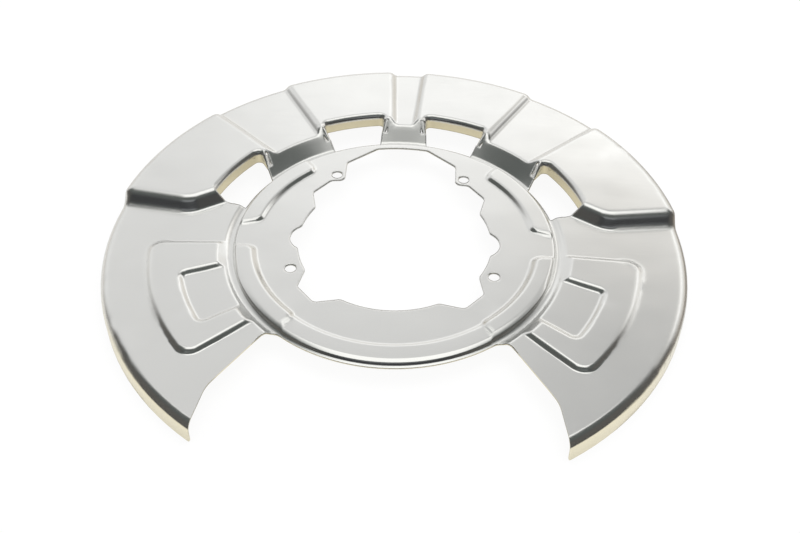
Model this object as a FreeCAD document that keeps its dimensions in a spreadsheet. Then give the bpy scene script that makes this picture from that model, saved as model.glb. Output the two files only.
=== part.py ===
import FreeCAD, Part
import math
import os

# Brake dust shield: one stamped sheet, a flat hub ring carried inside a C-shaped splash rim.
# The sheet is what lies between two forms, the upper skin and the lower skin one sheet below it.
# Frame: origin on the hub axis in the plate's upper face, +Z towards the seen side, mirrored in X = 0.

doc = FreeCAD.newDocument("brake_dust_shield")
V = FreeCAD.Vector

# Driving dimensions, in millimetres and degrees. Angles turn from +X, and the left half mirrors the right.
SIZES = {
    "sheet_thickness": 1.0,
    "outer_radius": 184.0,
    "rim_height": 14.3,
    "rim_bend": 6.0,
    "valley_depth": 3.0,
    "arm_drop": 1.5,
    "panel_rise": 7.0,
    "panel_step": 3.0,
    "panel_slope": 45.0,
    "step_slope": 57.0,
    "step_bend": 6.5,
    "step_foot_bend": 3.0,
    "step_line_angle": 8.0,
    "step_elbow_x": 134.7,
    "step_elbow_y": 20.0,
    "step_return_angle": 149.0,
    "step_elbow_bend": 20.0,
    "side_groove_start": 42.2,
    "side_groove_end": 60.3,
    "centre_groove_half": 3.5,
    "web_foot_radius": 105.5,
    "web_slope": 30.0,
    "web_foot_bend": 4.0,
    "web_top_bend": 3.5,
    "emboss_rise": 2.2,
    "emboss_slope": 42.0,
    "emboss_radius": 155.5,
    "emboss_start": -3.2,
    "emboss_end": -43.0,
    "emboss_corner": 10.0,
    "emboss_bend": 4.0,
    "emboss_foot_bend": 2.5,
    "recess_radius": 136.2,
    "recess_start_inner": -13.0,
    "recess_start_outer": -15.6,
    "recess_end": -35.6,
    "recess_corner": 5.5,
    "slot_radius": 125.9,
    "slot_corner": 3.5,
    "slot_bend": 3.6,
    "slot_lip_drop": 9.5,
    "slot_lip_end_radius": 113.0,
    "slot_lip_end_bend": 1.6,
    "inner_slot_start": 63.2,
    "inner_slot_end_inner": 81.0,
    "inner_slot_end_outer": 83.2,
    "end_slot_start": 16.3,
    "end_slot_end_inner": 34.0,
    "end_slot_end_outer": 39.4,
    "ring_foot_radius": 102.3,
    "ring_wall_slope": 70.0,
    "ring_foot_bend": 1.5,
    "ring_top_bend": 1.8,
    "pad_radius": 87.0,
    "pad_slope": 40.0,
    "pad_bend": 3.0,
    "pad_foot_bend": 2.5,
    "pad_corner": 7.0,
    "side_pad_rise": 3.0,
    "side_pad_start_inner": -6.1,
    "side_pad_start_outer": -4.7,
    "side_pad_end": -53.0,
    "back_pad_rise": 2.0,
    "back_pad_start_inner": 8.8,
    "back_pad_start_outer": 1.2,
    "back_pad_end": 50.5,
    "band_rise": 0.8,
    "band_slope": 20.0,
    "band_radius": 88.0,
    "band_end": -48.0,
    "bolt_hole": 7.0,
    "upper_bolt_x": 42.9,
    "upper_bolt_y": 64.0,
    "lower_bolt_x": 62.8,
    "lower_bolt_y": -29.0,
    "opening_radius": 61.3,
    "notch_x": 54.9,
    "notch_radius": 11.7,
    "opening_corner": 4.0,
    "lower_lobe_start": -23.3,
    "lower_lobe_side_x": 56.7,
    "lower_lobe_side_y": -44.3,
    "lower_lobe_foot_x": 45.4,
    "lower_lobe_foot_y": -57.1,
    "lower_lobe_end": -67.1,
    "upper_lobe_start": 23.0,
    "upper_lobe_side_x": 57.0,
    "upper_lobe_side_y": 44.5,
    "tab_corner_x": 46.0,
    "tab_corner_y": 58.0,
    "tab_edge_angle": 175.0,
    "window_half_width": 37.2,
    "window_side_y": 77.6,
    "window_roof_angle": 140.0,
    "window_radius": 96.0,
    "gap_radius": 103.7,
    "gap_corner": 8.0,
    "leg_elbow_x": 98.0,
    "leg_elbow_y": -124.0,
    "leg_inner_angle": -57.7,
    "leg_outer_angle": -80.6,
    "leg_bend": 25.0,
    "leg_tip_round": 2.0,
}

# Margins of the forms: how far they run on before they are trimmed.
BLANK_MARGIN = 14.0
HUB_MARGIN = 1.2
RING_MARGIN = 6.5
LIP_LAP = 1.0
LIP_PROUD = 0.04
EMBOSS_INNER = 96.0
GROOVE_INNER = 60.0
APEX_BEND = 30.0
CONE_RISE = 30.0
CUT_MARGIN = 20.0
FAR = 600.0
LOBE_ROOT = 56.6
ROOF_REACH = 36.5
TAB_REACH = 16.0
LEG_RUN = 75.0

# Two faces meet smoothly under this angle, in radians, and points agree within NEAR.
SMOOTH = 0.02
NEAR = 0.01

sheet = doc.addObject("Spreadsheet::Sheet", "sizes")
for row, (alias, value) in enumerate(SIZES.items(), 1):
    sheet.set("A%d" % row, alias)
    sheet.set("B%d" % row, str(value))
    sheet.setAlias("B%d" % row, alias)
doc.recompute()


def size(alias):
    return float(sheet.get(alias))


def bind(obj, prop, formula):
    """Tie a property to the sheet: every word of the formula that is an alias becomes a cell."""
    words = formula.replace("(", " ( ").replace(")", " ) ").replace(",", " , ").split()
    obj.setExpression(prop, " ".join("sizes." + w if w in SIZES else w for w in words))


def polar(radius, angle):
    a = math.radians(angle)
    return V(radius * math.cos(a), radius * math.sin(a), 0)


def arc_between(centre, radius, start, end):
    """The short arc from start to end about a centre."""
    a0 = math.atan2(start.y - centre.y, start.x - centre.x)
    a1 = math.atan2(end.y - centre.y, end.x - centre.x)
    turn = (a1 - a0 + math.pi) % (2 * math.pi) - math.pi
    middle = a0 + turn / 2
    return Part.Arc(start, centre + V(math.cos(middle), math.sin(middle), 0) * radius, end)


def rounded(corners):
    """A closed outline through (point, radius) corners, each turned by an arc of its radius."""
    joints = []
    count = len(corners)
    for i, (point, radius) in enumerate(corners):
        before = corners[i - 1][0] - point
        after = corners[(i + 1) % count][0] - point
        before.normalize()
        after.normalize()
        half = before.getAngle(after) / 2
        reach = radius / math.tan(half)
        centre = point + (before + after).normalize() * (radius / math.sin(half)) if radius else point
        joints.append((point + before * reach, centre, radius, point + after * reach))
    curves = []
    for i, (start, centre, radius, end) in enumerate(joints):
        if radius:
            curves.append(arc_between(centre, radius, start, end))
        curves.append(Part.LineSegment(end, joints[(i + 1) % count][0]))
    return curves


def on_circle(point, radius):
    return point * (radius / point.Length)


def sector(inner, outer, low, high, corner_in=0.0, corner_out=0.0, inset=0.0):
    """A ring sector between two side lines, each given by its angles at the inner and outer radius."""
    r_in, r_out = inner + inset, outer - inset
    c_in = corner_in - inset if corner_in else 0.0
    c_out = corner_out - inset if corner_out else 0.0
    sides = []
    for turn, (angle_in, angle_out) in ((1, low), (-1, high)):
        foot = polar(inner, angle_in)
        along = (polar(outer, angle_out) - foot).normalize()
        inward = V(-along.y, along.x, 0) * turn
        across = foot.dot(inward) + inset

        def corner(radius, reach):
            """A corner's centre, and where its arc leaves the side line."""
            run = along * math.sqrt(reach ** 2 - (across + radius) ** 2)
            return inward * (across + radius) + run, inward * across + run

        sides.append(corner(c_in, r_in + c_in) + corner(c_out, r_out - c_out))
    (ci0, in0, co0, out0), (ci1, in1, co1, out1) = sides
    hub = V(0, 0, 0)
    curves = [Part.LineSegment(in0, out0)]
    if c_out:
        curves.append(arc_between(co0, c_out, out0, on_circle(co0, r_out)))
    curves.append(arc_between(hub, r_out, on_circle(co0, r_out), on_circle(co1, r_out)))
    if c_out:
        curves.append(arc_between(co1, c_out, on_circle(co1, r_out), out1))
    curves.append(Part.LineSegment(out1, in1))
    if c_in:
        curves.append(arc_between(ci1, c_in, in1, on_circle(ci1, r_in)))
    curves.append(arc_between(hub, r_in, on_circle(ci1, r_in), on_circle(ci0, r_in)))
    if c_in:
        curves.append(arc_between(ci0, c_in, on_circle(ci0, r_in), in0))
    return curves


def mirrored(curves):
    """The outline on the other side of the mirror plane X = 0."""
    flipped = []
    for curve in curves:
        edge = curve.toShape().mirror(V(0, 0, 0), V(1, 0, 0))
        if isinstance(curve, Part.LineSegment):
            flipped.append(Part.LineSegment(edge.Vertexes[0].Point, edge.Vertexes[1].Point))
        else:
            first, last = edge.ParameterRange
            flipped.append(Part.Arc(*[edge.valueAt(at) for at in (first, (first + last) / 2, last)]))
    return flipped


def circle(radius):
    return [Part.Circle(V(0, 0, 0), V(0, 0, 1), radius)]


def plane_of(body, role):
    return [f for f in body.Origin.OriginFeatures if f.Role == role][0]


def outline(body, name, curves, level="0", role="XY_Plane"):
    sketch = body.newObject("Sketcher::SketchObject", name)
    sketch.AttachmentSupport = (plane_of(body, role), [""])
    sketch.MapMode = "FlatFace"
    bind(sketch, ".AttachmentOffset.Base.z", level)
    sketch.addGeometry(curves)
    return sketch


def raise_up(body, name, curves, level, height):
    """A pad on an outline, straight up from a level."""
    pad = body.newObject("PartDesign::Pad", name)
    pad.Profile = outline(body, name + "_outline", curves, level)
    bind(pad, "Length", height)
    doc.recompute()
    return pad


def cut_through(body, name, curves):
    """A pocket on an outline, from above the panels to below the rim."""
    pocket = body.newObject("PartDesign::Pocket", name)
    pocket.Profile = outline(body, name + "_outline", curves, "panel_rise + %g" % CUT_MARGIN)
    bind(pocket, "Length", "panel_rise + arm_drop + rim_height + %g" % (2 * CUT_MARGIN))
    doc.recompute()
    return pocket


def trim_outside(body, name, radius):
    """Cut away all that lies beyond a radius."""
    cut_through(body, name, circle(FAR) + circle(radius))


def turn_out(body, name, corners):
    """A groove turned about the hub axis from (radius, height) corners."""
    groove = body.newObject("PartDesign::Groove", name)
    section = rounded([(V(radius, height, 0), 0) for radius, height in corners])
    groove.Profile = outline(body, name + "_section", section, role="XZ_Plane")
    groove.ReferenceAxis = (plane_of(body, "Z_Axis"), [""])
    groove.Angle = 360
    doc.recompute()


def slope(body, name, first, second, cut=False):
    """Walls that lean from one outline to another, each (curves, level), added to the form or cut from it."""
    loft = body.newObject("PartDesign::SubtractiveLoft" if cut else "PartDesign::AdditiveLoft", name)
    loft.Profile = outline(body, name + "_from", *first)
    loft.Sections = [outline(body, name + "_to", *second)]
    loft.Ruled = True
    doc.recompute()
    return loft


def both_sides(body, name, first, second, cut=False):
    """The same leaning walls on the right and, mirrored, on the left."""
    slope(body, name + "_right", first, second, cut)
    slope(body, name + "_left", (mirrored(first[0]), first[1]), (mirrored(second[0]), second[1]), cut)


def round_edges(body, name, test, radius):
    base = body.Tip
    names = ["Edge%d" % i for i, e in enumerate(base.Shape.Edges, 1) if test(e)]
    fillet = body.newObject("PartDesign::Fillet", name)
    fillet.Base = (base, names)
    bind(fillet, "Radius", radius)
    doc.recompute()
    return fillet


def spot(edge):
    first, last = edge.ParameterRange
    return edge.valueAt((first + last) / 2)


def crease(body, low, high, beyond=0.0, within=FAR):
    """Edges where two faces meet at an angle, with their middle between two levels and between two radii."""
    shape = body.Tip.Shape

    def test(edge):
        mid = spot(edge)
        radius = math.hypot(mid.x, mid.y)
        if not (low - NEAR < mid.z < high + NEAR and beyond - NEAR < radius < within + NEAR):
            return False
        normals = [f.normalAt(*f.Surface.parameter(mid)) for f in shape.ancestorsOfType(edge, Part.Face)]
        return len(normals) == 2 and normals[0].getAngle(normals[1]) > SMOOTH
    return test


def lean(slope):
    """How far a wall of a slope shifts on the lower skin, per sheet thickness."""
    return math.tan(math.radians(size(slope)) / 2)


def run_of(slope, rise):
    """The level run of a wall of a slope over a rise."""
    return rise / math.tan(math.radians(size(slope)))


def shield_form(name, offset, skin):
    """The form under one skin of the outer shield. offset is 0 or the sheet, skin the same as a formula."""
    body = doc.addObject("PartDesign::Body", name)
    blank = size("outer_radius") + BLANK_MARGIN
    floor = -(size("arm_drop") + size("rim_height"))
    arm = -size("arm_drop") - offset
    top = size("panel_rise") - offset
    low = top - size("panel_step")
    crest = arm + size("emboss_rise")

    raise_up(body, name + "_blank", circle(blank), "0 - ( arm_drop + rim_height )",
             "rim_height - " + skin)

    # back platform with the big radial steps, their elbows and the run back to the end slots
    def platform(shift):
        outward = polar(1, size("step_line_angle"))
        inward = polar(1, size("step_return_angle"))
        across = V(-outward.y, outward.x, 0)
        bisector = (across + V(inward.y, -inward.x, 0)).normalize()
        elbow = V(size("step_elbow_x"), size("step_elbow_y"), 0) + bisector * (shift / bisector.dot(across))
        apex = elbow + inward * (elbow.x / -inward.x)
        far = elbow + outward * (2 * blank - elbow.x)
        bend = size("step_elbow_bend") - shift
        back = 2 * blank
        return rounded([(far, 0), (V(far.x, back, 0), 0), (V(-far.x, back, 0), 0), (V(-far.x, far.y, 0), 0),
                        (V(-elbow.x, elbow.y, 0), bend), (apex, APEX_BEND + shift), (elbow, bend)])

    shift = offset * lean("step_slope")
    climb = run_of("step_slope", size("arm_drop") + size("panel_rise"))
    slope(body, name + "_platform", (platform(shift), "0 - arm_drop - " + skin),
          (platform(shift + climb), "panel_rise - " + skin))

    drop = run_of("panel_slope", size("panel_step"))
    spread = -drop / 2 - offset * lean("panel_slope")
    side = (size("side_groove_start"),) * 2, (size("side_groove_end"),) * 2
    middle = (90 - size("centre_groove_half"),) * 2, (90 + size("centre_groove_half"),) * 2

    def groove(sides, inset):
        return sector(GROOVE_INNER, 2 * blank, *sides, inset=inset)

    both_sides(body, name + "_side_groove", (groove(side, spread), "panel_rise - " + skin),
               (groove(side, spread + drop), "panel_rise - panel_step - " + skin), cut=True)
    slope(body, name + "_middle_groove", (groove(middle, spread), "panel_rise - " + skin),
          (groove(middle, spread + drop), "panel_rise - panel_step - " + skin), cut=True)

    # all that runs past the blank goes, so that every step ends on one round wall
    trim_outside(body, name + "_round", blank)

    inset = offset * lean("emboss_slope")
    climb = run_of("emboss_slope", size("emboss_rise"))

    def horseshoe(inset):
        return sector(EMBOSS_INNER, size("emboss_radius"), (size("emboss_end"),) * 2,
                      (size("emboss_start"),) * 2, corner_out=size("emboss_corner"), inset=inset)

    def recess(inset):
        return sector(EMBOSS_INNER, size("recess_radius"), (size("recess_end"),) * 2,
                      (size("recess_start_inner"), size("recess_start_outer")),
                      corner_out=size("recess_corner"), inset=inset)

    both_sides(body, name + "_emboss", (horseshoe(inset), "0 - arm_drop - " + skin),
               (horseshoe(inset + climb), "emboss_rise - arm_drop - " + skin))
    both_sides(body, name + "_recess", (recess(-inset), "emboss_rise - arm_drop - " + skin),
               (recess(climb - inset), "0 - arm_drop - " + skin), cut=True)

    # the hub's place is open, and the ring fills it
    hub = size("web_foot_radius") - HUB_MARGIN
    cut_through(body, name + "_hub", circle(hub))

    def steps(level, where=lambda point: True):
        """Feet or crests of steps at a level, clear of the round walls."""
        sharp = crease(body, level, level, hub + 2 * NEAR, blank - 2 * NEAR)
        return lambda edge: sharp(edge) and where(spot(edge))

    round_edges(body, name + "_crests", steps(top), "step_bend - " + skin)
    round_edges(body, name + "_groove_feet", steps(low), "step_foot_bend + " + skin)
    round_edges(body, name + "_emboss_crests", steps(crest), "emboss_bend - " + skin)
    round_edges(body, name + "_step_feet", steps(arm, lambda p: p.y > 0), "step_foot_bend + " + skin)
    round_edges(body, name + "_emboss_feet", steps(arm, lambda p: p.y < 0), "emboss_foot_bend + " + skin)

    # the sloping web from the valley up to the panels
    foot = size("web_foot_radius") + offset * lean("web_slope")
    valley = -size("valley_depth") - offset
    run = run_of("web_slope", CONE_RISE)
    crown = valley + CONE_RISE
    turn_out(body, name + "_web", [(0, valley), (foot, valley), (foot + run, crown), (0, crown)])
    round_edges(body, name + "_web_foot", crease(body, valley, valley, foot, foot), "web_foot_bend + " + skin)

    def web_crest(edge):
        mid = spot(edge)
        on_cone = abs(math.hypot(mid.x, mid.y) - foot - (mid.z - valley) * run / CONE_RISE) < NEAR
        return on_cone and mid.z > (valley + arm) / 2 and edge.Length > NEAR

    round_edges(body, name + "_web_crest", web_crest, "web_top_bend - " + skin)

    rim = size("outer_radius") - offset
    trim_outside(body, name + "_rim", rim)

    def rim_crest(edge):
        mid = spot(edge)
        on_rim = abs(math.hypot(mid.x, mid.y) - rim) < NEAR
        return on_rim and mid.z > arm - NEAR and edge.BoundBox.ZMin > floor + NEAR

    round_edges(body, name + "_rim_crest", rim_crest, "rim_bend - " + skin)
    return body


def ring_form(name, offset, skin):
    """The form under one skin of the hub ring: the plate, its raised pads and the wall down to the valley."""
    body = doc.addObject("PartDesign::Body", name)
    plate = -offset
    blank = size("web_foot_radius") + RING_MARGIN
    raise_up(body, name + "_blank", circle(blank), "0 - ( arm_drop + rim_height )",
             "arm_drop + rim_height - " + skin)

    def band(shift):
        end = size("band_end")
        return sector(size("band_radius"), blank + RING_MARGIN, (-180 - end,) * 2, (end,) * 2,
                      inset=offset * lean("band_slope") + shift)

    def pad(low, high, shift):
        return sector(size("pad_radius"), blank + RING_MARGIN, low, high, corner_in=size("pad_corner"),
                      inset=offset * lean("pad_slope") + shift)

    def side_pad(shift):
        start = size("side_pad_start_inner"), size("side_pad_start_outer")
        return pad((size("side_pad_end"),) * 2, start, shift)

    def back_pad(shift):
        start = size("back_pad_start_inner"), size("back_pad_start_outer")
        return pad(start, (size("back_pad_end"),) * 2, shift)

    def levels(shape, rise, steepness):
        return (shape(0.0), "0 - " + skin), (shape(run_of(steepness, size(rise))), rise + " - " + skin)

    def steps(low, high=None):
        """Feet or crests of pads, clear of the blank's round wall."""
        return crease(body, low, low if high is None else high, within=blank - 2 * NEAR)

    slope(body, name + "_band", *levels(band, "band_rise", "band_slope"))
    trim_outside(body, name + "_band_round", blank)
    round_edges(body, name + "_band_crest", steps(plate + size("band_rise")), "pad_bend - " + skin)
    round_edges(body, name + "_band_foot", steps(plate), "pad_foot_bend + " + skin)
    both_sides(body, name + "_side_pad", *levels(side_pad, "side_pad_rise", "pad_slope"))
    both_sides(body, name + "_back_pad", *levels(back_pad, "back_pad_rise", "pad_slope"))
    trim_outside(body, name + "_pad_round", blank)
    for rise in ("side_pad_rise", "back_pad_rise"):
        round_edges(body, name + "_" + rise, steps(plate + size(rise)), "pad_bend - " + skin)
    round_edges(body, name + "_pad_feet", steps(plate, plate + size("band_rise")), "pad_foot_bend + " + skin)

    # the steep wall from the pads down to the valley, and the valley's edge where the web begins
    foot = size("ring_foot_radius") - offset * lean("ring_wall_slope")
    valley = -size("valley_depth") - offset
    run = run_of("ring_wall_slope", CONE_RISE)
    crown = valley + CONE_RISE
    turn_out(body, name + "_wall", [(foot, valley), (FAR, valley), (FAR, crown), (foot - run, crown)])
    hub = size("web_foot_radius") - HUB_MARGIN
    trim_outside(body, name + "_edge", hub)
    wall_foot = crease(body, valley, valley, foot, foot)
    round_edges(body, name + "_wall_foot", wall_foot, "ring_foot_bend + " + skin)
    wall_crest = crease(body, plate, plate + CONE_RISE, foot - run, foot)
    round_edges(body, name + "_wall_crest", wall_crest, "ring_top_bend - " + skin)
    return body


def prism(body, name, curves):
    """A tall prism that pierces the sheet."""
    raise_up(body, name, curves, "0 - ( arm_drop + rim_height + %g )" % CUT_MARGIN,
             "arm_drop + rim_height + panel_rise + %g" % (2 * CUT_MARGIN))


def hub_opening():
    """The opening for the hub: a round with side notches, lower lobes, and a window between two tabs."""
    body = doc.addObject("PartDesign::Body", "hub_opening")
    centre = V(0, 0, 0)

    def point(name):
        return V(size(name + "_x"), size(name + "_y"), 0)

    half, side_y = size("window_half_width"), size("window_side_y")
    roof = V(half, side_y, 0) + polar(ROOF_REACH, size("window_roof_angle"))
    right = [V(half, 0, 0), V(half, side_y, 0), roof]
    window = right + [V(-p.x, p.y, 0) for p in reversed(right)]
    lower_lobe = [centre, polar(LOBE_ROOT, size("lower_lobe_end")), point("lower_lobe_foot"),
                  point("lower_lobe_side"), polar(LOBE_ROOT, size("lower_lobe_start"))]
    tab = point("tab_corner")
    upper_lobe = [centre, polar(LOBE_ROOT, size("upper_lobe_start")), point("upper_lobe_side"), tab,
                  tab + polar(TAB_REACH, size("tab_edge_angle"))]

    prism(body, "window", rounded([(p, 0) for p in window]))
    trim_outside(body, "window_top", size("window_radius"))
    prism(body, "opening_round", circle(size("opening_radius")))
    for name, corners in (("lower_lobe", lower_lobe), ("upper_lobe", upper_lobe)):
        curves = rounded([(p, 0) for p in corners])
        prism(body, name + "_right", curves)
        prism(body, name + "_left", mirrored(curves))
    for name, side in (("notch_right", 1), ("notch_left", -1)):
        prism(body, name, [Part.Circle(V(side * size("notch_x"), 0, 0), V(0, 0, 1), size("notch_radius"))])
    round_edges(body, "opening_corners", upright(body), "opening_corner")
    return body


def upright(body, beyond=0.0, within=FAR):
    """The standing edges of a prism where two of its walls meet at an angle."""
    box = body.Tip.Shape.BoundBox
    middle = (box.ZMin + box.ZMax) / 2
    return crease(body, middle, middle, beyond, within)


def caliper_gap():
    """The gap for the caliper between the two legs, up to the ring's trimmed flange."""
    body = doc.addObject("PartDesign::Body", "caliper_gap")
    elbow = V(size("leg_elbow_x"), size("leg_elbow_y"), 0)
    near = elbow - polar(LEG_RUN, size("leg_inner_angle"))
    far = elbow + polar(LEG_RUN, size("leg_outer_angle"))
    right = [(near, 0), (elbow, size("leg_bend")), (far, 0)]
    left = [(V(-p.x, p.y, 0), radius) for p, radius in reversed(right)]
    prism(body, "gap_prism", rounded(right + left))
    edge = size("gap_radius")
    cut_through(body, "gap_edge", circle(edge))
    round_edges(body, "gap_corners", upright(body, edge, edge), "gap_corner")
    return body


def slot_outline(row, inset=0.0, start_turn=0.0):
    """A vent slot on the right: side line, corner, outer wall, corner, side line and the arc at the ring."""
    hub = size("web_foot_radius") - HUB_MARGIN
    starts = (size(row + "_slot_start") + start_turn,) * 2
    ends = size(row + "_slot_end_inner"), size(row + "_slot_end_outer")
    return sector(hub, size("slot_radius"), starts, ends, corner_out=size("slot_corner"), inset=inset)


def lipped_outline(row, inset=0.0):
    """The inner face of a slot's lip. At the end slot's start it lies a bend further in, with no lip there."""
    start_turn = math.degrees(size("slot_bend") / size("slot_radius")) if row == "end" else 0.0
    return slot_outline(row, inset, start_turn)


def vent_slots():
    """Two vent slots a side, between the webs, cut back by a bend where their lips turn down."""
    body = doc.addObject("PartDesign::Body", "vent_slots")
    lipped = lipped_outline("inner", -size("slot_bend")) + lipped_outline("end", -size("slot_bend"))
    prism(body, "lipped_slots", lipped + mirrored(lipped))
    cut_through(body, "lipped_slots_foot", circle(size("slot_lip_end_radius")))
    plain = slot_outline("inner") + slot_outline("end")
    prism(body, "plain_slots", plain + mirrored(plain))
    return body


def lip_section(wall, top, bottom, bend):
    """A lip in section: a strip of the sheet, its bend, and the wall that turns down from it."""
    thick = size("sheet_thickness")
    edge = wall + bend + LIP_LAP
    centre = V(wall + bend, top - bend, 0)
    corners = [V(edge, top, 0), V(wall + bend, top, 0), V(wall, top - bend, 0), V(wall, bottom, 0),
               V(wall + thick, bottom, 0), V(wall + thick, top - bend, 0), V(wall + bend, top - thick, 0),
               V(edge, top - thick, 0)]
    bends = {1: bend, 5: bend - thick}
    return [arc_between(centre, bends[i], p, q) if i in bends else Part.LineSegment(p, q)
            for i, (p, q) in enumerate(zip(corners, corners[1:] + corners[:1]))]


def standing(body, name, place, outward, curves):
    """A sketch on an upright plane: its x runs outward from a place, its y is the height."""
    sketch = body.newObject("Sketcher::SketchObject", name)
    up = V(0, 0, 1)
    sketch.Placement = FreeCAD.Placement(place, FreeCAD.Rotation(outward, up, outward.cross(up), "XYZ"))
    sketch.addGeometry(curves)
    return sketch


def slot_lips():
    """The lips of the right slots: along the outer wall, round its corners and down the webs' sides."""
    body = doc.addObject("PartDesign::Body", "slot_lips")
    top = size("panel_rise")
    bottom = top - size("slot_lip_drop")
    bend = size("slot_bend")
    fall = math.tan(math.radians(size("web_slope")))

    def web_level(point):
        return (point.Length - size("web_foot_radius")) * fall - size("valley_depth")

    def turned(name, arc, run_on=0.0):
        """The lip along an arc about which the void lies inside, run on at its start by an angle."""
        edge = arc.toShape()
        centre = edge.Curve.Center
        start, end = [vertex.Point - centre for vertex in edge.Vertexes]
        if start.cross(end).z < 0:
            start, end = end, start
        turn = math.degrees(start.getAngle(end))
        begin = polar(1, math.degrees(math.atan2(start.y, start.x)) - run_on)
        revolution = body.newObject("PartDesign::Revolution", name)
        revolution.Profile = standing(body, name + "_section", centre, begin,
                                      lip_section(edge.Curve.Radius, top, bottom, bend))
        revolution.ReferenceAxis = (revolution.Profile[0], ["V_Axis"])
        revolution.Angle = turn + run_on
        doc.recompute()

    def faded(name, corner, foot, turn):
        """The lip down a web's side, from its corner to a small bend at its lower end."""
        upward = (corner - foot).normalize()
        outward = V(-upward.y, upward.x, 0) * turn
        across = corner.dot(outward)
        low = outward * across + upward * math.sqrt(size("slot_lip_end_radius") ** 2 - across ** 2)
        small = size("slot_lip_end_bend")
        low_level = web_level(low) + LIP_PROUD
        low_bottom = low_level - small - size("sheet_thickness") / 2
        upper = lip_section(0.0, web_level(corner) + LIP_PROUD, bottom, bend)
        lower = lip_section(0.0, low_level, low_bottom, small)
        loft = body.newObject("PartDesign::AdditiveLoft", name)
        loft.Profile = standing(body, name + "_corner", corner, outward, upper)
        loft.Sections = [standing(body, name + "_foot", low, outward, lower)]
        loft.Ruled = True
        doc.recompute()

    for row in ("inner", "end"):
        low_side, low_corner, outer_wall, high_corner, high_side = lipped_outline(row)[:5]
        turned(row + "_lip_high_corner", high_corner)
        faded(row + "_lip_high_side", high_side.StartPoint, high_side.EndPoint, 1)
        if row == "inner":
            turned(row + "_lip_wall", outer_wall)
            turned(row + "_lip_low_corner", low_corner)
            faded(row + "_lip_low_side", low_side.EndPoint, low_side.StartPoint, -1)
        else:
            # the end slot's lip runs on into the wall of the big step
            run_on = (bend + size("slot_corner")) / size("slot_radius")
            turned(row + "_lip_wall", outer_wall, math.degrees(run_on))
    return body


def bolt_hole(name, side, row):
    hole = doc.addObject("Part::Cylinder", name)
    bind(hole, "Radius", "bolt_hole / 2")
    bind(hole, "Height", "rim_height + panel_rise")
    bind(hole, ".Placement.Base.x", "%d * %s_bolt_x" % (side, row))
    bind(hole, ".Placement.Base.y", "%s_bolt_y" % row)
    bind(hole, ".Placement.Base.z", "0 - rim_height")
    return hole


def join(name, *shapes):
    whole = doc.addObject("Part::MultiFuse", name)
    whole.Shapes = shapes
    return whole


def cut(name, base, tool):
    rest = doc.addObject("Part::Cut", name)
    rest.Base = base
    rest.Tool = tool
    return rest


thickness = size("sheet_thickness")
upper_form = join("upper_form", shield_form("upper_shield", 0.0, "0"), ring_form("upper_ring", 0.0, "0"))
lower_form = join("lower_form", shield_form("lower_shield", thickness, "sheet_thickness"),
                  ring_form("lower_ring", thickness, "sheet_thickness"))
holes = [bolt_hole("%s_bolt_%s" % (row, word), side, row)
         for row in ("upper", "lower") for word, side in (("right", 1), ("left", -1))]
pierced = join("pierced", hub_opening(), caliper_gap(), vent_slots(), *holes)
pierced_sheet = cut("pierced_sheet", cut("pressed_sheet", upper_form, lower_form), pierced)

right_lips = doc.addObject("Part::Common", "right_lips")
right_lips.Base = slot_lips()
right_lips.Tool = upper_form
left_lips = doc.addObject("Part::Mirroring", "left_lips")
left_lips.Source = right_lips
left_lips.Normal = V(1, 0, 0)
lipped_sheet = join("lipped_sheet", pierced_sheet, right_lips, left_lips)
doc.recompute()


def leg_tip(edge):
    """The short lower edge across the sheet at a leg's tip."""
    mid = spot(edge)
    on_floor = abs(mid.z + size("arm_drop") + size("rim_height")) < NEAR
    return on_floor and mid.y < 0 and edge.Length < 2 * thickness


dust_shield = doc.addObject("Part::Fillet", "dust_shield")
dust_shield.Base = lipped_sheet
tips = [i for i, edge in enumerate(lipped_sheet.Shape.Edges, 1) if leg_tip(edge)]
dust_shield.Edges = [(i, size("leg_tip_round"), size("leg_tip_round")) for i in tips]
dust_shield.Label = "dust_shield"
doc.recompute()

failed = [obj.Name for obj in doc.Objects if "Invalid" in obj.State or "Error" in obj.State]
if failed:
    raise RuntimeError("failed objects: " + ", ".join(failed))
shape = dust_shield.Shape
if shape.isNull() or not shape.isValid() or len(shape.Solids) != 1:
    raise RuntimeError("the shield is not one valid solid")

os.makedirs("parts", exist_ok=True)
shape.exportStep("parts/%s.step" % dust_shield.Label)
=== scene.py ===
import math

import bpy
from mathutils import Matrix, Vector


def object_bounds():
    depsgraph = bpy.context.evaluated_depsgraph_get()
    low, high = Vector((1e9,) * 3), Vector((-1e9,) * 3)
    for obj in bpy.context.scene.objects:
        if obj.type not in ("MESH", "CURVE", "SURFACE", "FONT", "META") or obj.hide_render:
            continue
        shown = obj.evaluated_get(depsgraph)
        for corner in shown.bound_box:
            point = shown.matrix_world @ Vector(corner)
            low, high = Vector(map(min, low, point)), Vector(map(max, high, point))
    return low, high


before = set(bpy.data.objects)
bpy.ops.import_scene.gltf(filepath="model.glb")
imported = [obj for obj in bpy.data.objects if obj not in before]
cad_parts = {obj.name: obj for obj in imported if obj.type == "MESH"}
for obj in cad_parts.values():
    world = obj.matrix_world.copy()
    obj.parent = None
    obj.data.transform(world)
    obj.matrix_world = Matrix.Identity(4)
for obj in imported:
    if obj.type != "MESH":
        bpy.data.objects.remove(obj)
CAD_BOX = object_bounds()

bl_info = {
    "name": "Brake Dust Shield",
    "version": (1, 0, 0),
    "blender": (4, 5, 0),
    "location": "View3D > Sidebar > Dust Shield",
    "description": "Dresses a stamped brake dust shield in bright zinc plate and sets up its studio",
    "category": "Object",
}

IMAGE_WIDTH = 800
SENSOR = 36.0
WHITE = (1.0, 1.0, 1.0, 1.0)
WARM_GREEN = 0.4

# Shading of the mesh: points closer than the gap are joined, and edges that turn more than the
# angle stay crisp.
SEAM_GAP = 0.000001
CUT_ANGLE = math.radians(35.0)
BEVEL_SAMPLES = 8

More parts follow.
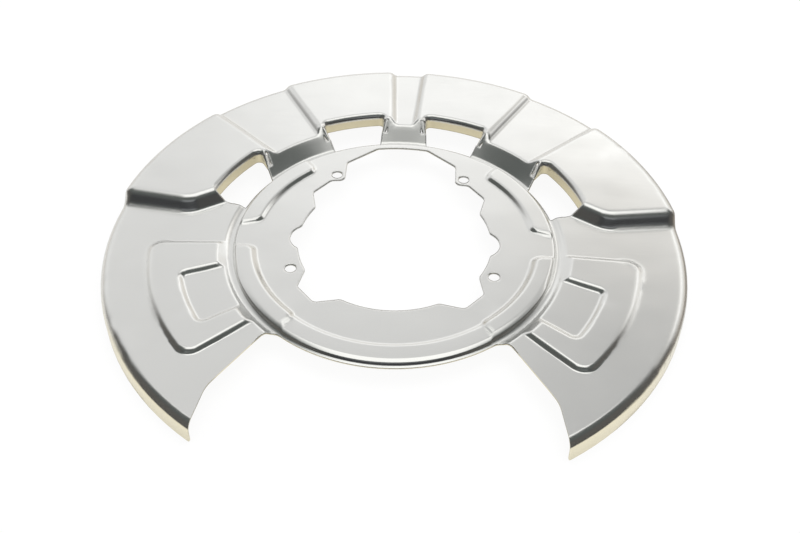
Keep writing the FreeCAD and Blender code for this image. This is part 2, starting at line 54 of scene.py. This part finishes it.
# Grain of the plate.
GRAIN_ROUGHNESS = 0.55
STREAKS = {"stretch": (1.0, 14.0, 1.0), "scale": 60.0, "detail": 4.0}
CLOUDS = {"stretch": (1.0, 1.0, 1.0), "scale": 32.0, "detail": 2.0}
HAIRS = {"stretch": (9.0, 1.0, 3.0), "scale": 110.0, "detail": 3.0}
GRIT = {"stretch": (1.0, 1.0, 1.0), "scale": 900.0, "detail": 2.0}
WAVES = {"stretch": (1.0, 1.6, 1.0), "scale": 16.0, "detail": 1.0}
HAIR_LEVEL = (0.66, 0.74)
GRIT_LEVEL = (0.70, 0.80)
GRIT_DULLING = 0.25
CLOUD_BLUR = 0.08
HAIR_BLUR = 0.06
BLOOM_FALL = 4.0
STREAK_SHARE = 0.02
HAIR_SHARE = 0.01

# A constant below that holds two numbers is a soft ramp: a mask is 0 at the first and 1 at the second.
# Sheared edges round the hub opening: the upright part of the normal, and the radius.
EDGE_UPRIGHT = (0.30, 0.15)
EDGE_RADIUS = (0.098, 0.097)

# The arms, and the cut edges beside the caliper gap.
ARM_ACROSS = (0.130, 0.138)
ARM_RADIUS = (0.138, 0.146)
GAP_FRONT = (-0.085, -0.093)
GAP_ACROSS = (0.131, 0.127)
LEG_RADIUS = (0.112, 0.118)
RING_CRISPNESS = 0.5

# The way down the ring's wall, from just inside its crest to its foot, and what the side pads add to it.
PAD_END = (0.0602, 0.0623)
WALL_START = 0.0993
WALL_TOP = 0.0008
WALL_WAY = 0.0082
PAD_START_SHIFT = 0.0007
PAD_TOP_RISE = 0.0022
PAD_WAY_MORE = 0.0028
WALL_UPRIGHT = (0.10, 0.20)
WALL_FRONT = (-0.02, -0.045)
WALL_FIRST = (-0.02, 0.02)
WALL_LAST = (1.02, 0.98)
# Each stop is a share of that way and how far the wall leans over there, as a share of a right angle.
WALL_LEAN = ((0.0, 0.0), (0.08, 0.12), (0.41, 0.20), (0.55, 0.58), (0.70, 0.64), (0.80, 0.22), (1.0, 0.13))

# The short ramps at the ends of the ring's pads: they slope along the ring, not across it.
RAMP_RADIAL = (0.35, 0.20)
RAMP_SLOPED = (0.99, 0.93)
RAMP_NOT_STEEP = (0.5, 0.6)
RAMP_INNER = (0.085, 0.087)
RAMP_OUTER = (0.1015, 0.1005)
RAMP_EASING = 0.6

# The surroundings, by the way a mirrored ray goes.
FRONT_DARK = (0.035, 0.037, 0.040, 1.0)
SIDE_DARK = (0.105, 0.100, 0.092, 1.0)
HIGH_DARK = (0.10, 0.11, 0.105, 1.0)
WINDOW = (0.27, 0.28, 0.29, 1.0)
SOFT_BOX = (1.28, 1.28, 1.26, 1.0)
SIDE_TURN = (0.45, 0.85)
HIGH_TURN = (0.55, 0.80)
WINDOW_LOW = (0.46, 0.62)
WINDOW_HIGH = (0.80, 0.64)
WINDOW_SIDE = (0.45, 0.32)
WINDOW_FRONT = (-0.40, -0.55)
BEHIND_MIDDLE = (-0.26, -0.08)
BEHIND_RIGHT = (0.00, 0.16)
BEHIND_TURN = (0.27, 0.55)
BOX_FRONT = (-0.22, 0.05)
BOX_BACK = (0.54, 0.46)
BOX_SIDE = (0.40, 0.24)
BOX_LOW = (0.60, 0.75)

# The floor, by place: its colours in the metal, which are painted reflections of light and shade, and where
# each lies.
FLOOR_HALF = 4.0
FLOOR_SEEN_GLOW = 0.92
FLOOR_MIRRORED_GLOW = 0.7
FLOOR_PALE = (0.80, 0.79, 0.77, 1.0)
FLOOR_UNDER = (0.80, 0.72, 0.51, 1.0)
FLOOR_BEFORE = (0.98, 0.91, 0.71, 1.0)
FLOOR_BROWN = (0.24, 0.21, 0.175, 1.0)
# Painted shade that the metal mirrors, far in front and in the caliper gap.
FLOOR_PAINTED_SHADE = (0.06, 0.06, 0.058, 1.0)
UNDER_INNER = (0.080, 0.095)
UNDER_OUTER = (0.185, 0.165)
BEFORE_FRONT = (-0.02, -0.12)
FAR_RADIUS = (0.205, 0.250)
OPEN_ACROSS = (0.105, 0.085)
OPEN_FRONT = (-0.112, -0.124)
RIGHT_ACROSS = (0.185, 0.200)
RIGHT_BACK = (-0.11, -0.07)


class DustShieldFinish(bpy.types.PropertyGroup):
    """How the plated sheet looks."""
    zinc_colour: bpy.props.FloatVectorProperty(
        name="Zinc Colour", description="Colour of the bright zinc plate",
        subtype="COLOR", size=3, min=0.0, max=1.0, default=(0.80, 0.80, 0.78))
    gloss_blur: bpy.props.FloatProperty(
        name="Gloss Blur", description="Roughness of the plated sheet",
        subtype="FACTOR", min=0.0, max=1.0, default=0.18)
    streak_depth: bpy.props.FloatProperty(
        name="Streak Depth", description="How much the rolling streaks and clouds dull the zinc",
        subtype="FACTOR", min=0.0, max=1.0, default=0.10)
    wave_height: bpy.props.FloatProperty(
        name="Wave Height", description="Height of the slight waves left in the sheet by the press",
        subtype="DISTANCE", unit="LENGTH", min=0.0, default=0.0003)
    bloom: bpy.props.FloatProperty(
        name="Bloom", description="Pale bloom of the passivated zinc, seen at a low angle",
        subtype="FACTOR", min=0.0, max=1.0, default=0.6)
    bend_softness: bpy.props.FloatProperty(
        name="Bend Softness", description="How far the drawn sheet eases into each bend",
        subtype="DISTANCE", unit="LENGTH", min=0.0, default=0.0018)
    arm_softness: bpy.props.FloatProperty(
        name="Arm Softness", description="How far the sheet eases into the bends of the arms and their rim",
        subtype="DISTANCE", unit="LENGTH", min=0.0, default=0.0048)
    edge_colour: bpy.props.FloatVectorProperty(
        name="Edge Colour", description="Colour of the sheared edges round the hub opening",
        subtype="COLOR", size=3, min=0.0, max=1.0, default=(0.62, 0.62, 0.60))
    edge_blur: bpy.props.FloatProperty(
        name="Edge Blur", description="Roughness of the sheared edges",
        subtype="FACTOR", min=0.0, max=1.0, default=0.55)


class DustShieldStudio(bpy.types.PropertyGroup):
    """Where the camera stands, and the floor's colour."""
    camera_azimuth: bpy.props.FloatProperty(
        name="Azimuth", description="Turn of the camera about the hub axis, from the caliper gap",
        subtype="ANGLE", unit="ROTATION", default=math.radians(2.877))
    camera_elevation: bpy.props.FloatProperty(
        name="Elevation", description="Height of the camera above the floor, as an angle",
        subtype="ANGLE", unit="ROTATION", default=math.radians(43.812))
    camera_roll: bpy.props.FloatProperty(
        name="Roll", description="Turn of the camera about its own line of sight",
        subtype="ANGLE", unit="ROTATION", default=math.radians(0.4566))
    camera_distance: bpy.props.FloatProperty(
        name="Distance", description="From the camera to the point it looks at",
        subtype="DISTANCE", unit="LENGTH", min=0.1, default=0.6613)
    camera_target: bpy.props.FloatVectorProperty(
        name="Target", description="Point in the plate's plane that the camera looks at",
        subtype="XYZ", unit="LENGTH", size=3, default=(0.00469, -0.02332, 0.0))
    camera_focal: bpy.props.FloatProperty(
        name="Focal Length", description="Focal length in pixels of the 800 pixel wide picture",
        min=100.0, default=1068.7)
    floor_colour: bpy.props.FloatVectorProperty(
        name="Floor", description="Colour of the pale floor",
        subtype="COLOR", size=3, min=0.0, max=1.0, default=(0.93, 0.93, 0.92))


def node_at(tree, kind, inputs=None, **settings):
    """A node with its settings, its inputs set to values or linked to sockets."""
    node = tree.nodes.new(kind)
    for name, value in settings.items():
        setattr(node, name, value)
    for name, value in (inputs or {}).items():
        socket = node.inputs[name]
        if isinstance(value, bpy.types.NodeSocket):
            tree.links.new(value, socket)
        else:
            socket.default_value = value
    return node


def fresh_tree(owner):
    """The empty node tree of a material or a world."""
    owner.use_nodes = True
    owner.node_tree.nodes.clear()
    return owner.node_tree


def soft_ramp(tree, value, ends):
    """0 before the first end, 1 past the second, and soft between."""
    node = node_at(tree, "ShaderNodeMapRange", {
        "Value": value, "From Min": ends[0], "From Max": ends[1]}, interpolation_type="SMOOTHSTEP")
    return node.outputs["Result"]


def math_of(tree, operation, first, second=0.0, third=0.0):
    """The result of one sum with up to three inputs."""
    return node_at(tree, "ShaderNodeMath", {0: first, 1: second, 2: third}, operation=operation).outputs[0]


def vector_of(tree, operation, first, second):
    """The result of one sum of two vectors."""
    return node_at(tree, "ShaderNodeVectorMath", {0: first, 1: second}, operation=operation).outputs[0]


def all_of(tree, mask, *others):
    """1 where every mask is 1."""
    for other in others:
        mask = math_of(tree, "MULTIPLY", mask, other)
    return mask


def axes_of(tree, vector):
    """The X, Y and Z sockets of a vector."""
    axis = node_at(tree, "ShaderNodeSeparateXYZ", {"Vector": vector}).outputs
    return axis["X"], axis["Y"], axis["Z"]


def blend_of(tree, factor, first, second):
    """A colour from first to second."""
    return node_at(tree, "ShaderNodeMix", {0: factor, 6: first, 7: second}, data_type="RGBA").outputs[2]


def shader_of(tree, factor, first, second):
    """A shader from first to second, each the node that makes it."""
    return node_at(tree, "ShaderNodeMixShader", {0: factor, 1: first.outputs[0], 2: second.outputs[0]})


def ramp_of(tree, value, stops):
    """A colour that follows value through stops, each a place and a colour."""
    node = node_at(tree, "ShaderNodeValToRGB", {"Fac": value})
    ramp = node.color_ramp
    while len(ramp.elements) < len(stops):
        ramp.elements.new(1.0)
    for element, (place, colour) in zip(ramp.elements, stops):
        element.position = place
        element.color = (*colour, 1.0)
    return node.outputs["Color"]


def grey(level, warm=0.0):
    """A neutral level, with less blue and a little less green where it is warm."""
    return level, level * (1.0 - WARM_GREEN * warm), level * (1.0 - warm)


# The wall behind as it shows in the metal, by the height of the mirrored ray: a left, a middle and
# a right part.
WALL_LEFT = ((0.0, grey(0.64, 0.16)), (0.30, grey(0.84)), (0.50, grey(0.94)), (0.58, grey(0.92)),
             (0.665, grey(0.81)), (0.715, grey(0.80)), (0.80, grey(0.72)))
WALL_MIDDLE = ((0.0, grey(0.80, 0.08)), (0.30, grey(0.92, 0.05)), (0.48, grey(1.02)), (0.54, grey(1.34)),
               (0.665, grey(0.95)), (0.715, grey(0.79)), (0.80, grey(0.71)))
WALL_RIGHT = ((0.0, grey(0.80, 0.12)), (0.30, grey(0.90, 0.08)), (0.46, grey(1.02)), (0.56, grey(1.58)),
              (0.645, grey(0.85, 0.08)), (0.70, grey(0.58)), (0.80, grey(0.52)))


def grain(tree, place, stretch, scale, detail):
    """Noise drawn out along one way of the sheet."""
    drawn = node_at(tree, "ShaderNodeMapping", {"Vector": place, "Scale": stretch})
    noise = node_at(tree, "ShaderNodeTexNoise", {
        "Vector": drawn.outputs["Vector"], "Scale": scale, "Detail": detail, "Roughness": GRAIN_ROUGHNESS})
    return noise.outputs["Fac"]


def from_axis(tree, place):
    """The level line from the hub axis to a place."""
    return vector_of(tree, "MULTIPLY", place, (1.0, 1.0, 0.0))


def radius_of(tree, place):
    """Distance of a place from the hub axis."""
    line = from_axis(tree, place)
    return node_at(tree, "ShaderNodeVectorMath", {0: line}, operation="LENGTH").outputs["Value"]


def unit_of(tree, vector):
    """A vector brought to length 1."""
    return node_at(tree, "ShaderNodeVectorMath", {0: vector}, operation="NORMALIZE").outputs[0]


def true_normal(tree):
    """The normal of the mesh's own faces."""
    return node_at(tree, "ShaderNodeNewGeometry").outputs["True Normal"]


def sheared_edge(tree, place):
    """1 on the bare cut edges round the hub opening and its bolt holes."""
    upright = math_of(tree, "ABSOLUTE", axes_of(tree, true_normal(tree))[2])
    return all_of(tree, soft_ramp(tree, upright, EDGE_UPRIGHT),
                  soft_ramp(tree, radius_of(tree, place), EDGE_RADIUS))


def bend_ease(tree, place, finish):
    """How far the sheet eases into its bends: most on the arms and their rim, least beside the gap."""
    x, y, _ = axes_of(tree, place)
    across = math_of(tree, "ABSOLUTE", x)
    radius = radius_of(tree, place)
    arms = all_of(tree, soft_ramp(tree, across, ARM_ACROSS), soft_ramp(tree, radius, ARM_RADIUS))
    legs = soft_ramp(tree, radius, LEG_RADIUS)
    crispness = math_of(tree, "MULTIPLY_ADD", legs, 1.0 - RING_CRISPNESS, RING_CRISPNESS)
    beside_gap = all_of(tree, soft_ramp(tree, y, GAP_FRONT), soft_ramp(tree, across, GAP_ACROSS), crispness)
    base = finish.bend_softness
    ease = math_of(tree, "MULTIPLY_ADD", arms, finish.arm_softness - base, base)
    return math_of(tree, "MULTIPLY", ease, math_of(tree, "SUBTRACT", 1.0, beside_gap))


def gentle_ramps(tree, place, eased):
    """The eased normal, leaning less on the short ramps at the ends of the hub ring's pads."""
    radius = radius_of(tree, place)
    normal = true_normal(tree)
    outward = unit_of(tree, from_axis(tree, place))
    radial = node_at(tree, "ShaderNodeVectorMath", {0: normal, 1: outward}, operation="DOT_PRODUCT")
    along = soft_ramp(tree, math_of(tree, "ABSOLUTE", radial.outputs["Value"]), RAMP_RADIAL)
    upright = axes_of(tree, normal)[2]
    ramp = all_of(tree, along,
                  soft_ramp(tree, upright, RAMP_SLOPED), soft_ramp(tree, upright, RAMP_NOT_STEEP),
                  soft_ramp(tree, radius, RAMP_INNER), soft_ramp(tree, radius, RAMP_OUTER))
    kept = math_of(tree, "MULTIPLY_ADD", ramp, -RAMP_EASING, 1.0)
    share = node_at(tree, "ShaderNodeCombineXYZ", {"X": kept, "Y": kept, "Z": 1.0}).outputs[0]
    return unit_of(tree, vector_of(tree, "MULTIPLY", eased, share))


def wall_normal(tree, place, eased):
    """The eased normal, with an even bend from crest to foot on the front half of the hub ring's wall."""
    x, y, z = axes_of(tree, place)
    pad = soft_ramp(tree, math_of(tree, "ABSOLUTE", x), PAD_END)
    start = math_of(tree, "MULTIPLY_ADD", pad, PAD_TOP_RISE + PAD_START_SHIFT, WALL_TOP - WALL_START)
    way = math_of(tree, "SUBTRACT", math_of(tree, "ADD", radius_of(tree, place), start), z)
    share = math_of(tree, "DIVIDE", way, math_of(tree, "MULTIPLY_ADD", pad, PAD_WAY_MORE, WALL_WAY))
    stops = [(stop, grey(lean)) for stop, lean in WALL_LEAN]
    lean = math_of(tree, "MULTIPLY", ramp_of(tree, share, stops), math.pi / 2.0)
    outward = unit_of(tree, from_axis(tree, place))
    sideways = node_at(tree, "ShaderNodeVectorMath", {
        0: outward, "Scale": math_of(tree, "SINE", lean)}, operation="SCALE").outputs[0]
    upward = node_at(tree, "ShaderNodeCombineXYZ", {"Z": math_of(tree, "COSINE", lean)}).outputs[0]
    even = vector_of(tree, "ADD", sideways, upward)
    on_wall = all_of(tree, soft_ramp(tree, axes_of(tree, true_normal(tree))[2], WALL_UPRIGHT),
                     soft_ramp(tree, y, WALL_FRONT),
                     soft_ramp(tree, share, WALL_FIRST), soft_ramp(tree, share, WALL_LAST))
    return node_at(tree, "ShaderNodeMix", {0: on_wall, 4: eased, 5: even}, data_type="VECTOR").outputs[1]


def zinc_plate(finish):
    """Bright zinc on rolled steel: faint streaks, clouds, hair scratches and a slight oil-can wave."""
    material = bpy.data.materials.new("zinc_plate")
    tree = fresh_tree(material)
    place = node_at(tree, "ShaderNodeTexCoord").outputs["Object"]
    streaks = grain(tree, place, **STREAKS)
    clouds = grain(tree, place, **CLOUDS)
    hairs = soft_ramp(tree, grain(tree, place, **HAIRS), HAIR_LEVEL)
    grit = soft_ramp(tree, grain(tree, place, **GRIT), GRIT_LEVEL)
    waves = grain(tree, place, **WAVES)
    edge = sheared_edge(tree, place)

    bright = (*finish.zinc_colour, 1.0)
    dull = (*(value * (1.0 - finish.streak_depth) for value in finish.zinc_colour), 1.0)
    colour = blend_of(tree, math_of(tree, "MULTIPLY", streaks, clouds), bright, dull)
    colour = blend_of(tree, math_of(tree, "MULTIPLY", grit, GRIT_DULLING), colour, dull)
    colour = blend_of(tree, edge, colour, (*finish.edge_colour, 1.0))

    blur = math_of(tree, "MULTIPLY_ADD", clouds, CLOUD_BLUR, finish.gloss_blur - CLOUD_BLUR / 2.0)
    blur = math_of(tree, "MULTIPLY_ADD", hairs, HAIR_BLUR, blur)
    blur = math_of(tree, "MAXIMUM", blur, math_of(tree, "MULTIPLY", edge, finish.edge_blur))

    aslant = node_at(tree, "ShaderNodeLayerWeight", {"Blend": 0.5}).outputs["Facing"]
    metal = math_of(tree, "MULTIPLY_ADD", math_of(tree, "POWER", aslant, BLOOM_FALL), -finish.bloom, 1.0)

    relief = math_of(tree, "MULTIPLY_ADD", streaks, STREAK_SHARE, waves)
    relief = math_of(tree, "MULTIPLY_ADD", hairs, -HAIR_SHARE, relief)
    ease = bend_ease(tree, place, finish)
    soft = node_at(tree, "ShaderNodeBevel", {"Radius": ease}, samples=BEVEL_SAMPLES)
    normal = gentle_ramps(tree, place, soft.outputs["Normal"])
    normal = wall_normal(tree, place, normal)
    bump = node_at(tree, "ShaderNodeBump", {
        "Height": relief, "Strength": 1.0, "Distance": finish.wave_height, "Normal": normal})
    shader = node_at(tree, "ShaderNodeBsdfPrincipled", {
        "Base Color": colour, "Metallic": metal, "Roughness": blur, "Normal": bump.outputs["Normal"]})
    node_at(tree, "ShaderNodeOutputMaterial", {"Surface": shader.outputs["BSDF"]})
    return material


def even_shading(sheet):
    """Soft shading over the bends of the sheet and a crisp line at its cut edges, its form as it was."""
    group = bpy.data.node_groups.new("soft_bends_crisp_edges", "GeometryNodeTree")
    group.is_modifier = True
    group.interface.new_socket("Sheet", in_out="INPUT", socket_type="NodeSocketGeometry")
    group.interface.new_socket("Sheet", in_out="OUTPUT", socket_type="NodeSocketGeometry")
    sheet_in = node_at(group, "NodeGroupInput").outputs["Sheet"]
    joined = node_at(group, "GeometryNodeMergeByDistance", {"Geometry": sheet_in, "Distance": SEAM_GAP})
    soft = node_at(group, "GeometryNodeSetShadeSmooth", {
        "Geometry": joined.outputs["Geometry"], "Shade Smooth": True}, domain="FACE")
    turn = node_at(group, "GeometryNodeInputMeshEdgeAngle").outputs["Unsigned Angle"]
    cut = node_at(group, "FunctionNodeCompare", {"A": turn, "B": CUT_ANGLE}, operation="GREATER_THAN")
    crisp = node_at(group, "GeometryNodeSetShadeSmooth", {
        "Geometry": soft.outputs["Geometry"], "Selection": cut.outputs["Result"], "Shade Smooth": False},
        domain="EDGE")
    node_at(group, "NodeGroupOutput", {"Sheet": crisp.outputs["Geometry"]})
    sheet.modifiers.new("soft_bends", "NODES").node_group = group
    even = sheet.modifiers.new("even_shading", "WEIGHTED_NORMAL")
    even.mode = "FACE_AREA_WITH_ANGLE"
    even.keep_sharp = True


class DUSTSHIELD_OT_dress_sheet(bpy.types.Operator):
    """Give the stamped sheet its bright zinc plate"""
    bl_idname = "dust_shield.dress_sheet"
    bl_label = "Dress Sheet"

    def execute(self, context):
        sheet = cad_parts["dust_shield"]
        sheet.data.materials.clear()
        sheet.data.materials.append(zinc_plate(context.scene.dust_shield_finish))
        even_shading(sheet)
        return {"FINISHED"}


def studio_surroundings(scene):
    """What the metal mirrors: a white wall behind, a soft box above, and a dark room with a window."""
    world = bpy.data.worlds.new("studio_surroundings")
    scene.world = world
    tree = fresh_tree(world)
    ray = node_at(tree, "ShaderNodeLightPath").outputs
    x, y, z = axes_of(tree, node_at(tree, "ShaderNodeTexCoord").outputs["Generated"])
    side = math_of(tree, "ABSOLUTE", x)

    room = blend_of(tree, soft_ramp(tree, side, SIDE_TURN), FRONT_DARK, SIDE_DARK)
    room = blend_of(tree, soft_ramp(tree, z, HIGH_TURN), room, HIGH_DARK)
    pane = all_of(tree, soft_ramp(tree, z, WINDOW_LOW), soft_ramp(tree, z, WINDOW_HIGH),
                  soft_ramp(tree, side, WINDOW_SIDE), soft_ramp(tree, y, WINDOW_FRONT))
    room = blend_of(tree, pane, room, WINDOW)
    wall = blend_of(tree, soft_ramp(tree, x, BEHIND_MIDDLE),
                    ramp_of(tree, z, WALL_LEFT), ramp_of(tree, z, WALL_MIDDLE))
    wall = blend_of(tree, soft_ramp(tree, x, BEHIND_RIGHT), wall, ramp_of(tree, z, WALL_RIGHT))
    room = blend_of(tree, soft_ramp(tree, y, BEHIND_TURN), room, wall)
    above = all_of(tree, soft_ramp(tree, y, BOX_FRONT), soft_ramp(tree, y, BOX_BACK),
                   soft_ramp(tree, side, BOX_SIDE), soft_ramp(tree, z, BOX_LOW))
    room = blend_of(tree, above, room, SOFT_BOX)

    mirrored = node_at(tree, "ShaderNodeBackground", {"Color": room, "Strength": 1.0})
    plain = node_at(tree, "ShaderNodeBackground", {"Color": WHITE, "Strength": 1.0})
    shown = shader_of(tree, ray["Is Glossy Ray"], plain, mirrored)
    node_at(tree, "ShaderNodeOutputWorld", {"Surface": shown.outputs[0]})


def painted_floor_reflection(tree):
    """How the floor shows in the metal, as painted reflection: pale, warm under the ring and before the
    legs.

    It is brown on the right, and painted shade, dark, far in front and in the caliper gap.
    """
    place = node_at(tree, "ShaderNodeNewGeometry").outputs["Position"]
    x, y, _ = axes_of(tree, place)
    radius = radius_of(tree, place)
    under = all_of(tree, soft_ramp(tree, radius, UNDER_INNER), soft_ramp(tree, radius, UNDER_OUTER))
    before = soft_ramp(tree, y, BEFORE_FRONT)
    right = all_of(tree, soft_ramp(tree, x, RIGHT_ACROSS), soft_ramp(tree, y, RIGHT_BACK))
    far = all_of(tree, before, soft_ramp(tree, radius, FAR_RADIUS))
    across = math_of(tree, "ABSOLUTE", x)
    gap = all_of(tree, soft_ramp(tree, across, OPEN_ACROSS), soft_ramp(tree, y, OPEN_FRONT))
    # Painted reflections: warm light under the ring and before the legs, brown on the right, painted shade
    # far in front and in the gap.
    glow = blend_of(tree, under, FLOOR_PALE, FLOOR_UNDER)
    glow = blend_of(tree, before, glow, FLOOR_BEFORE)
    glow = blend_of(tree, right, glow, FLOOR_BROWN)
    return blend_of(tree, math_of(tree, "MAXIMUM", far, gap), glow, FLOOR_PAINTED_SHADE)


def pale_floor(scene, studio):
    """A wide pale floor under the rim: near white to the camera, faintly shadowed, and painted by place
    with reflections that the metal mirrors.
    """
    half = FLOOR_HALF
    level = CAD_BOX[0].z
    corners = [(-half, -half, level), (half, -half, level), (half, half, level), (-half, half, level)]
    mesh = bpy.data.meshes.new("floor")
    mesh.from_pydata(corners, [], [(0, 1, 2, 3)])
    floor = bpy.data.objects.new("floor", mesh)
    scene.collection.objects.link(floor)
    material = bpy.data.materials.new("pale_floor")
    tree = fresh_tree(material)
    ray = node_at(tree, "ShaderNodeLightPath").outputs
    paper = node_at(tree, "ShaderNodeBsdfDiffuse", {"Color": (*studio.floor_colour, 1.0)})
    glow = node_at(tree, "ShaderNodeEmission", {"Color": WHITE, "Strength": 1.0})
    seen = shader_of(tree, FLOOR_SEEN_GLOW, paper, glow)
    # Glossy rays see painted reflections: the floor's colour set by place and mostly glowing, so the metal
    # mirrors painted light and shade.
    tint = painted_floor_reflection(tree)
    tinted_paper = node_at(tree, "ShaderNodeBsdfDiffuse", {"Color": tint})
    tinted_glow = node_at(tree, "ShaderNodeEmission", {"Color": tint, "Strength": 1.0})
    mirrored = shader_of(tree, FLOOR_MIRRORED_GLOW, tinted_paper, tinted_glow)
    lit = shader_of(tree, ray["Is Camera Ray"], paper, seen)
    shown = shader_of(tree, ray["Is Glossy Ray"], lit, mirrored)
    node_at(tree, "ShaderNodeOutputMaterial", {"Surface": shown.outputs[0]})
    mesh.materials.append(material)


def overhead_lamp(scene):
    """A wide soft lamp above, which doesn't show in the metal."""
    data = bpy.data.lights.new("overhead_lamp", "AREA")
    data.shape = "RECTANGLE"
    data.size = 1.2
    data.size_y = 0.8
    data.energy = 8.0
    data.specular_factor = 0.0
    lamp = bpy.data.objects.new("overhead_lamp", data)
    lamp.location = (0.2, 0.3, 1.4)
    lamp.rotation_euler = (-lamp.location).to_track_quat("-Z", "Y").to_euler()
    lamp.visible_glossy = False
    scene.collection.objects.link(lamp)


def photo_camera(scene, studio):
    """A camera that looks at the target from the studio's angles and distance."""
    azimuth = studio.camera_azimuth
    elevation = studio.camera_elevation
    roll = studio.camera_roll
    back = Vector((math.sin(azimuth) * math.cos(elevation),
                   -math.cos(azimuth) * math.cos(elevation), math.sin(elevation)))
    right = (-back).cross(Vector((0.0, 0.0, 1.0))).normalized()
    up = right.cross(-back)
    across = right * math.cos(roll) + up * math.sin(roll)
    upward = up * math.cos(roll) - right * math.sin(roll)
    data = bpy.data.cameras.new("camera")
    data.sensor_fit = "HORIZONTAL"
    data.sensor_width = SENSOR
    data.lens = studio.camera_focal * SENSOR / IMAGE_WIDTH
    data.clip_start = 0.01
    camera = bpy.data.objects.new("camera", data)
    spot = Vector(studio.camera_target) + back * studio.camera_distance
    turn = Matrix((across, upward, back)).transposed().to_4x4()
    camera.matrix_world = Matrix.Translation(spot) @ turn
    scene.collection.objects.link(camera)
    scene.camera = camera


class DUSTSHIELD_OT_set_stage(bpy.types.Operator):
    """Set the floor, the studio surroundings, the lamp and the camera"""
    bl_idname = "dust_shield.set_stage"
    bl_label = "Set Stage"

    def execute(self, context):
        scene = context.scene
        studio = scene.dust_shield_studio
        scene.view_settings.view_transform = "Standard"
        studio_surroundings(scene)
        pale_floor(scene, studio)
        overhead_lamp(scene)
        photo_camera(scene, studio)
        return {"FINISHED"}


class DUSTSHIELD_PT_panel(bpy.types.Panel):
    """The shield's steps and settings in the sidebar"""
    bl_idname = "DUSTSHIELD_PT_panel"
    bl_label = "Dust Shield"
    bl_space_type = "VIEW_3D"
    bl_region_type = "UI"
    bl_category = "Dust Shield"

    def draw(self, context):
        layout = self.layout
        for operator in (DUSTSHIELD_OT_dress_sheet, DUSTSHIELD_OT_set_stage):
            layout.operator(operator.bl_idname)
        for group in (context.scene.dust_shield_finish, context.scene.dust_shield_studio):
            box = layout.box()
            for name in group.bl_rna.properties.keys():
                if name not in ("rna_type", "name"):
                    box.prop(group, name)


CLASSES = (
    DustShieldFinish,
    DustShieldStudio,
    DUSTSHIELD_OT_dress_sheet,
    DUSTSHIELD_OT_set_stage,
    DUSTSHIELD_PT_panel,
)


def register():
    for cls in CLASSES:
        bpy.utils.register_class(cls)
    bpy.types.Scene.dust_shield_finish = bpy.props.PointerProperty(type=DustShieldFinish)
    bpy.types.Scene.dust_shield_studio = bpy.props.PointerProperty(type=DustShieldStudio)


def unregister():
    del bpy.types.Scene.dust_shield_studio
    del bpy.types.Scene.dust_shield_finish
    for cls in reversed(CLASSES):
        bpy.utils.unregister_class(cls)


def main():
    register()
    bpy.ops.dust_shield.dress_sheet()
    bpy.ops.dust_shield.set_stage()


if __name__ == "__main__":
    main()
